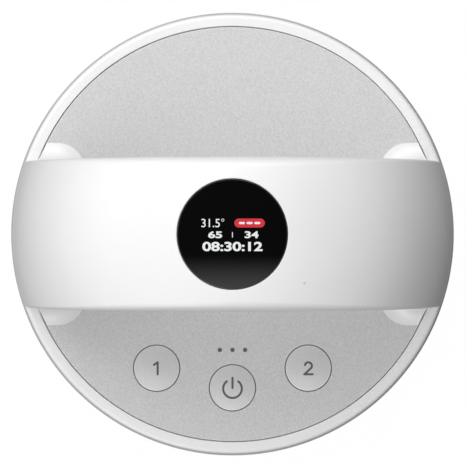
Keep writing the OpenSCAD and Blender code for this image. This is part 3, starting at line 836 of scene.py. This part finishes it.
class DEVICE_OT_deck(bpy.types.Operator):
    """Makes the silver deck plate, notched for the handle's feet, and its three marker dots"""

    bl_idname = "device.deck"
    bl_label = "Deck plate"

    dots_y = -33 * MM
    dot_pitch = 3.6 * MM
    dot_r = 0.62 * MM
    dot_run = 0.01 * MM
    plate_edge = 0.25 * MM

    def execute(self, context):
        s = sizes()
        outlines = [self.outline()]
        for name in BUTTONS:
            place = middle_of(f"{name}_button")
            outlines.append(arc(place.x, place.y, BUTTON_R + s.panel_gap, 0, -360, 96)[:-1])
        rows = rounded_edge(SEAT_Z, DECK_Z, self.plate_edge)
        plate = formed_sheet("deck_plate_sheet", outlines, rows)
        dress(plate, "deck_silver", "deck_plate")
        dots = [
            strip("dot", [(x - self.dot_run, y), (x + self.dot_run, y)], 2 * self.dot_r)
            for x, y in ((k * self.dot_pitch, self.dots_y) for k in (-1, 0, 1))
        ]
        marks = join("marker_dots", dots)
        lay_on(marks, lambda x, y: DECK_Z, s.mark)
        dress(marks, finish="ink")
        return {"FINISHED"}

    def outline(self):
        """A disc with a notch for each foot, against the clock."""
        s = sizes()
        half = FOOT_HALF - s.foot_lap
        corner = s.foot_corner - s.foot_lap
        cx, cy = s.foot_in + s.foot_corner, FOOT_HALF - s.foot_corner
        turn = degrees(asin(half / PLATE_R))
        top = arc(0, 0, PLATE_R, turn, 180 - turn, 96)
        notch = arc(-cx, cy, corner, 90, 0, 16) + arc(-cx, -cy, corner, 0, -90, 16)
        side = top + notch
        return without_repeats(side + [(-x, -y) for x, y in side])


class DEVICE_OT_handle(bpy.types.Operator):
    """Makes the cover and the grip of the arched handle, with its flared feet"""

    bl_idname = "device.handle"
    bl_label = "Handle"

    hole_place = (19.3 * MM, -13.1 * MM)
    hole_r = 0.35 * MM
    # A pale mesh closes the sound hole this far under the surface
    hole_depth = 0.45 * MM
    least_round = 0.3 * MM
    # The seat of the lens, and the ledge under it
    seat_gap = 0.12 * MM
    seat_edge = 0.3 * MM
    ledge_gap = 0.05 * MM
    ledge_width = 1.6 * MM
    ledge_t = 1.5 * MM
    # A foot's root in the deck's seat, its lift over the plate, and its gap to the rim, in
    # panel gaps
    foot_root = 0.1 * MM
    foot_lift = 0.03 * MM
    foot_short = 1.6
    leg_sharp = 40

    def execute(self, context):
        self.cover()
        self.grip()
        return {"FINISHED"}

    def crown_line(self, radius, half, crown):
        """Half of a rounded back: from its middle out to the side wall."""
        c, turn = edge_place(radius - crown, half - crown)
        return arc(0, 0, radius, 0, turn, 26) + arc(c, half - crown, crown, turn, 90, 14)[1:]

    def hand_line(self, inner, half, hand):
        """Half of a flat hand side with a round edge: from its middle out to the side wall."""
        flat = [(inner, (half - hand) * k / 6) for k in range(6)]
        return flat + arc(inner + hand, half - hand, hand, 180, 90, 14)

    def lip(self, split, edge):
        """The broken edge of a shell at the joint, and its way in."""
        inside = BAND_HALF - sizes().shell
        return [(split + edge, BAND_HALF), (split, BAND_HALF - abs(edge)), (split, inside)]

    def cover(self):
        """The outer shell, with the seat of the lens let into its crown."""
        s = sizes()
        lip = self.lip(s.split, s.edge)

        def section_at(place):
            crown = s.crown_end + (s.crown_round - s.crown_end) * place ** 3
            inside = max(crown - s.shell, self.least_round)
            return mirrored(
                self.crown_line(BODY_R, BAND_HALF, crown) + lip
                + self.crown_line(BODY_R - s.shell, BAND_HALF - s.shell, inside)[::-1]
            )

        shell = sweep_arch("handle_cover_shell", section_at, COVER_FOOT_Z)
        deep, tall = LENS_LOW - 2 * PAST, WIDEST_Z + BODY_R + PAST
        opening = lathe("opening", [(0, deep), (s.bezel_r, deep), (s.bezel_r, tall), (0, tall)])
        crown = sqrt(BODY_R ** 2 - Vector(self.hole_place).length_squared)
        mesh_z = WIDEST_Z + crown - self.hole_depth
        sound = lathe(
            "sound_hole", [(0, mesh_z), (self.hole_r, mesh_z), (self.hole_r, tall), (0, tall)],
            self.hole_place, 24,
        )
        cut(shell, opening, sound)
        shell = join("handle_cover_shell", [shell, self.bezel()])
        dress(shell, "white_shell", "handle_cover")
        sphere_normals(shell, BODY_R)

    def bezel(self):
        """The ring of the crown round the lens, with the ledge that the lens rests on."""
        s = sizes()
        edge = self.seat_edge
        seat_r = LENS_R + self.seat_gap
        lip_turn = asin((seat_r + edge) / BODY_R)
        out_turn = asin(s.bezel_r / BODY_R)
        crown = [
            (BODY_R * sin(t), WIDEST_Z + BODY_R * cos(t))
            for t in (out_turn + (lip_turn - out_turn) * k / 6 for k in range(7))
        ]
        lip_z = crown[-1][1]
        ledge_z, ledge_r = LENS_LOW - self.ledge_gap, LENS_R - self.ledge_width
        return lathe("bezel", crown + arc(seat_r + edge, lip_z - edge, edge, 80, 180, 8) + [
            (seat_r, ledge_z), (ledge_r, ledge_z), (ledge_r, ledge_z - self.ledge_t),
            (s.bezel_r, ledge_z - self.ledge_t),
        ])

    def grip(self):
        """The hand side shell, with a flared foot on each leg."""
        s = sizes()
        section = mirrored(
            self.hand_line(s.grip_in, BAND_HALF, s.grip_round) + self.lip(s.split - s.seam, -s.edge)
            + self.hand_line(
                s.grip_in + s.shell, BAND_HALF - s.shell, s.grip_round - s.shell
            )[::-1]
        )
        shell = sweep_arch("handle_grip_shell", lambda place: section, DECK_Z)
        shell = join("handle_grip_shell", [shell, self.foot(1), self.foot(-1)])
        dress(shell, "white_shell", "handle_grip", sharp=self.leg_sharp)

    def foot_path(self, face, corner_centre, corner, half, end):
        """Half of a foot's outline, from the rim round the corner to the middle, in even runs."""
        run = [(end + (corner_centre[0] - end) * k / 10, half) for k in range(10)]
        run += arc(*corner_centre, corner, 90, 180, 16)
        return run + [(face, corner_centre[1] * (1 - k / 10)) for k in range(1, 11)]

    def foot(self, side, steps=14):
        """A flare that runs from the foot's edge on the deck up into the leg."""
        s = sizes()
        base = DECK_Z + self.foot_lift
        clip = s.rim_in - self.foot_short * s.panel_gap
        outer = self.foot_path(
            s.foot_in, (s.foot_in + s.foot_corner, FOOT_HALF - s.foot_corner), s.foot_corner,
            FOOT_HALF, sqrt(clip ** 2 - FOOT_HALF ** 2),
        )
        rows = [[(x, y, SEAT_Z + self.foot_root) for x, y in outer]]
        for k in range(steps + 1):
            tilt = radians(90 * k / steps)
            z = base + s.flare * (1 - cos(tilt))
            face = sqrt(s.grip_in ** 2 - (z - WIDEST_Z) ** 2)
            inner = self.foot_path(
                face, (face + s.grip_round, BAND_HALF - s.grip_round), s.grip_round,
                BAND_HALF, sqrt(clip ** 2 - BAND_HALF ** 2),
            )
            rows.append([
                (a[0] + (b[0] - a[0]) * sin(tilt), a[1] + (b[1] - a[1]) * sin(tilt), z)
                for a, b in zip(outer, inner)
            ])
        rings = [row + [(x, -y, z) for x, y, z in reversed(row[:-1])] for row in rows]
        n = len(rings[0])
        vertices = [(side * x, y, z) for ring in rings for x, y, z in ring]
        starts = [r * n for r in range(len(rings))]
        rim_side = starts + [r + n - 1 for r in reversed(starts)]
        ends = [rim_side, range(n), range(starts[-1], starts[-1] + n)]
        return piece_from("foot", vertices, bands(len(rings), n, 1) + ends)


class DEVICE_OT_display(bpy.types.Operator):
    """Makes the domed window of the display and its lit figures"""

    bl_idname = "device.display"
    bl_label = "Display"

    # The figures of the display: text, height, width, boldness and place, lengths in millimetres
    figures = (
        ("31.5", 2.25, 4.9, 0.004, -5.8, 2.97),
        ("65", 1.86, 3.7, 0.03, -4.6, -0.13),
        ("34", 1.86, 3.7, 0.03, 5.1, -0.13),
        ("08:30:12", 2.5, 16.0, 0.03, 0.0, -3.27),
    )
    window_drop = 0.04 * MM
    window_edge = 0.35 * MM
    film = 0.012 * MM
    degree_place = (-2.6 * MM, 3.75 * MM)
    degree_r = 0.32 * MM
    degree_width = 0.14 * MM
    # Straight lines: their two ends and their width, in millimetres
    divider = (0, -0.8, 0, 0.5, 0.2)
    badge = (1.7, 2.97, 7.4, 2.97, 2.4)
    bars = (
        (2.0, 2.97, 3.0, 2.97, 0.6), (4.05, 2.97, 5.05, 2.97, 0.6), (6.1, 2.97, 7.1, 2.97, 0.6),
    )

    def execute(self, context):
        window_r = BODY_R - self.window_drop
        self.window(window_r)

        def on_window(x, y):
            return WIDEST_Z + sqrt(window_r ** 2 - x ** 2 - y ** 2)

        pieces = [
            figure("figure", text, height * MM, width * MM, bold, (x * MM, y * MM))
            for text, height, width, bold, x, y in self.figures
        ]
        pieces.append(self.line("divider", self.divider))
        pieces.append(self.degree_ring())
        figures = join("display_figures", pieces)
        badge = self.line("level_badge", self.badge)
        bars = join("level_bars", [self.line("bar", values) for values in self.bars])
        for marks, films, colour in ((figures, 1, "white"), (badge, 1, "red"), (bars, 2, "white")):
            lay_on(marks, on_window, films * self.film)
            dress(marks, "panel_dark", finish=f"lit_{colour}")
        return {"FINISHED"}

    def line(self, name, values):
        """One straight line of the display."""
        x, y, end_x, end_y, width = (value * MM for value in values)
        return strip(name, [(x, y), (end_x, end_y)], width)

    def window(self, radius):
        """The domed window, with a small bevel round its edge."""
        edge = self.window_edge
        turn = degrees(asin((LENS_R - edge) / radius))
        rim_z = WIDEST_Z + radius * cos(radians(turn))
        profile = [(0, LENS_LOW), (LENS_R, LENS_LOW)]
        profile += arc(LENS_R - edge, rim_z - edge, edge, 0, 90 - turn, 6)
        profile += [(y, WIDEST_Z + x) for x, y in arc(0, 0, radius, turn, 0, 24)]
        window = lathe("display_window", profile)
        dress(window, "lens_black", "display_lens")
        sphere_normals(window, radius)

    def degree_ring(self, steps=24):
        """The small flat ring of a degree sign."""
        work = bmesh.new()
        half = self.degree_width / 2
        rings = [
            [work.verts.new((x, y, 0)) for x, y in arc(*self.degree_place, r, 0, 360, steps)[:-1]]
            for r in (self.degree_r - half, self.degree_r + half)
        ]
        for k in range(steps):
            work.faces.new((rings[0][k - 1], rings[0][k], rings[1][k], rings[1][k - 1]))
        return new_piece("degree_ring", work)


class DEVICE_OT_buttons(bpy.types.Operator):
    """Makes the three domed button caps and the marks printed on them"""

    bl_idname = "device.buttons"
    bl_label = "Buttons"

    edge = 0.35 * MM
    rise = 0.6 * MM
    skirt = 2 * MM
    stroke = 0.6 * MM
    # The power sign: its ring, how low that sits, its start and end in degrees, and its bar
    power_r = 2.65 * MM
    power_drop = 0.2 * MM
    power_turn = (128, 412)
    bar_over = 0.45 * MM
    bar_length = 2.9 * MM
    # The figures: their height, the 1's flag and stem, and the 2's bowl and foot
    figure_height = 4.0 * MM
    flag = (-0.75 * MM, 0.7 * MM)
    stem_x = 0.3 * MM
    bowl_r = 1.0 * MM
    bowl_turn = (165, -35)
    foot_ends = (-1.15 * MM, 1.2 * MM)

    def execute(self, context):
        for name in BUTTONS:
            self.cap(name)
        return {"FINISHED"}

    def cap(self, name):
        """One domed cap with its mark."""
        body = f"{name}_key"
        centre = middle_of(f"{name}_button")
        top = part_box(f"{name}_button")[1].z
        dome_r = BUTTON_R - self.edge
        bow = (dome_r ** 2 + self.rise ** 2) / (2 * self.rise)
        turn = degrees(asin(dome_r / bow))
        profile = [(0, SEAT_Z - self.skirt), (BUTTON_R, SEAT_Z - self.skirt)]
        profile += arc(dome_r, top - self.rise - self.edge, self.edge, 0, 90 - turn, 7)
        profile += [(y, top - bow + x) for x, y in arc(0, 0, bow, turn, 0, 16)]
        cap = lathe(f"{name}_cap", profile, (centre.x, centre.y), 96)
        dress(cap, "button_silver", f"{name}_button", body=body)

        def on_dome(x, y):
            return top - bow + sqrt(bow ** 2 - (x - centre.x) ** 2 - (y - centre.y) ** 2)

        mark = self.mark(name, centre)
        lay_on(mark, on_dome, sizes().mark)
        dress(mark, finish="ink", body=body)

    def mark(self, name, centre):
        """The plain figure or the power sign of one button."""
        if name != "power":
            return self.numeral(f"{name}_mark", name == "left", centre)
        low = centre.y - self.power_drop
        ring = strip("ring", arc(centre.x, low, self.power_r, *self.power_turn, 60), self.stroke)
        top = low + self.power_r + self.bar_over
        bar = strip("bar", [(centre.x, top), (centre.x, top - self.bar_length)], self.stroke)
        return join("power_mark", [ring, bar])

    def numeral(self, name, is_one, centre):
        """The figure 1 or 2, drawn in plain strokes."""
        top = (self.figure_height - self.stroke) / 2
        if is_one:
            crest, base = (self.stem_x, top), (self.stem_x, -top)
            runs = [[(self.flag[0], top - self.flag[1]), crest], [crest, base]]
        else:
            heel, toe = ((x, -top) for x in self.foot_ends)
            bowl = arc(0, top - self.bowl_r, self.bowl_r, *self.bowl_turn, 24)
            runs = [bowl + [heel], [heel, toe]]
        return join(name, [
            strip("stroke", [(centre.x + x, centre.y + y) for x, y in run], self.stroke)
            for run in runs
        ])


class DEVICE_OT_head(bpy.types.Operator):
    """Makes the treatment head and its plated electrodes"""

    bl_idname = "device.head"
    bl_label = "Treatment head"

    edge = 0.5 * MM
    # Electrodes: how deep they are let in, and the arcs' radii, span in degrees and corners
    sunk = 0.4 * MM
    arc_inner = 30 * MM
    arc_outer = 43.5 * MM
    arc_span = 70
    corner = 1.6 * MM

    def execute(self, context):
        disc = self.disc("treatment_head_disc", HEAD_R, HEAD_TOP, HEAD_Z, 256, 6)
        dress(disc, "white_shell", "treatment_head")
        for i in range(4):
            self.arc_plate(i)
        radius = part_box("centre_electrode")[1].x
        plate = self.disc("centre_electrode_plate", radius, HEAD_Z + self.sunk, 0, 128, 8)
        dress(plate, "electrode_metal", "centre_electrode")
        return {"FINISHED"}

    def disc(self, name, radius, top, low, segments, steps):
        """A round plate whose lower edge is soft."""
        profile = [(0, top), (radius, top)]
        profile += arc(radius - self.edge, low + self.edge, self.edge, 0, -90, steps)
        return lathe(name, profile + [(0, low)], segments=segments)

    def arc_plate(self, i):
        """One arc electrode with rounded corners and a soft edge."""
        middle = 45 + 90 * i
        start, end = middle - self.arc_span / 2, middle + self.arc_span / 2
        outline = []
        for radius, first, last in ((self.arc_outer, start, end), (self.arc_inner, end, start)):
            room = copysign(degrees(1.5 * self.corner / radius), last - first)
            for a, b, steps in (
                (first, first, 0), (first + room, last - room, 48), (last, last, 0),
            ):
                outline += arc(0, 0, radius, a, b, steps)
        top = HEAD_Z + self.sunk
        rows = [(d, top - z) for d, z in rounded_edge(0, top, self.edge)]
        plate = formed_sheet(f"arc_electrode_plate_{i + 1}", [rounded(outline, self.corner)], rows)
        dress(plate, "electrode_metal", f"arc_electrode_{i + 1}")


class DEVICE_PT_panel(bpy.types.Panel):
    """Lists the steps that make the device, and its sizes and colours"""

    bl_idname = "DEVICE_PT_panel"
    bl_label = "Device"
    bl_space_type = "VIEW_3D"
    bl_region_type = "UI"
    bl_category = "Device"

    def draw(self, context):
        for step in STEPS:
            self.layout.operator(step.bl_idname)
        for group in (sizes(), colours()):
            for name in group.__annotations__:
                self.layout.prop(group, name)


STEPS = (
    DEVICE_OT_stage, DEVICE_OT_inner_works, DEVICE_OT_housings, DEVICE_OT_deck,
    DEVICE_OT_handle, DEVICE_OT_display, DEVICE_OT_buttons, DEVICE_OT_head,
)
CLASSES = (DeviceSizes, DeviceColours, *STEPS, DEVICE_PT_panel)


def register():
    """Makes the classes and the settings known."""
    for item in CLASSES:
        bpy.utils.register_class(item)
    bpy.types.Scene.device_sizes = bpy.props.PointerProperty(type=DeviceSizes)
    bpy.types.Scene.device_colours = bpy.props.PointerProperty(type=DeviceColours)


def unregister():
    """Takes the settings and the classes away."""
    del bpy.types.Scene.device_colours
    del bpy.types.Scene.device_sizes
    for item in reversed(CLASSES):
        bpy.utils.unregister_class(item)


def main():
    """Makes the whole device."""
    register()
    for step in STEPS:
        group, name = step.bl_idname.split(".")
        getattr(getattr(bpy.ops, group), name)()
    bpy.context.view_layer.update()


if __name__ == "__main__":
    main()
